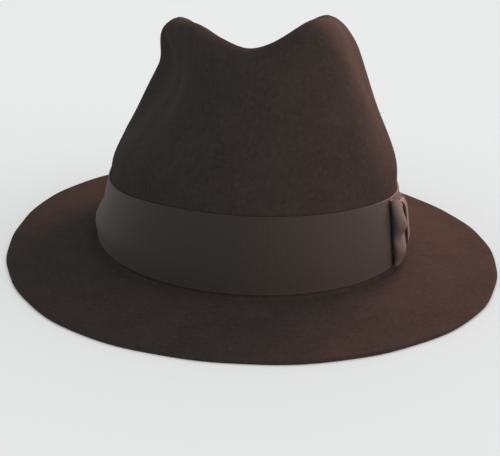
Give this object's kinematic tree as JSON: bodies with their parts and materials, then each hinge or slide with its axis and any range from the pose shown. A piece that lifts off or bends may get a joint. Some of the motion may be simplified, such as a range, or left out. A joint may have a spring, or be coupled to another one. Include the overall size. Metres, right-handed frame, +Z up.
{
  "type": "fedora hat",
  "caption": "Soft felt hat with a creased and pinched crown, a level-edged brim, a ribbon band and a flat side bow, open below for the head.",
  "frame": {"origin": "middle of the hat's outline, on the surface that the brim's rim stands on", "axes": "+Z up through the crown, -Y towards the front of the hat, +X towards the wearer's left, where the bow is"},
  "size_m": [0.2723, 0.3166, 0.1325],
  "materials": {
    "felt": "brushed dark brown felt with a short nap",
    "ribbon": "ribbed ribbon, a little greyer than the felt, with a soft sheen"
  },
  "bodies": {
    "root": {"felt_body": "felt", "hat_band": "ribbon", "bow_front_loop": "ribbon", "bow_rear_loop": "ribbon", "bow_knot": "ribbon"}
  },
  "joints": []
}
